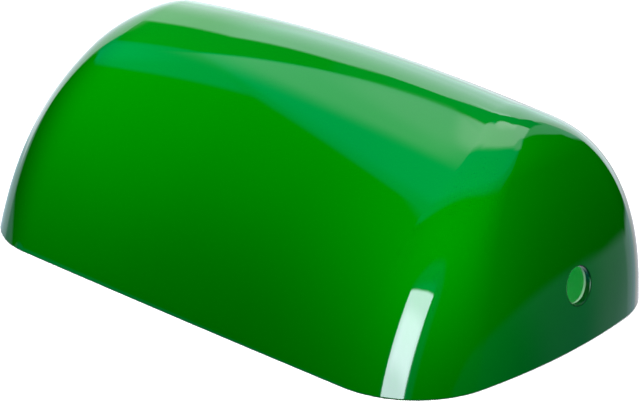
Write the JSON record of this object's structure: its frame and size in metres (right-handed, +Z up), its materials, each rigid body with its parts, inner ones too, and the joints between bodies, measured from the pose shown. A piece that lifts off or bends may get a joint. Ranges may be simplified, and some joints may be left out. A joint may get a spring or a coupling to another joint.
{
  "type": "lamp shade",
  "caption": "Green cased glass trough shade for a banker's desk lamp, lined with opal glass, open below, with a screw hole through each end wall.",
  "frame": {"origin": "in the plane of the ground rim, at the middle of the length and of the width", "axes": "+X along the shade, -Y towards the long sloping front, +Y towards the steeper back, +Z up to the ridge"},
  "size_m": [0.225, 0.132, 0.077],
  "materials": {
    "green_glass": "polished, deep green, backed by the opal lining so that it looks opaque",
    "opal_glass": "glossy white opal glass"
  },
  "bodies": {
    "root": {"green_casing": "green_glass", "opal_lining": "opal_glass"}
  },
  "joints": []
}
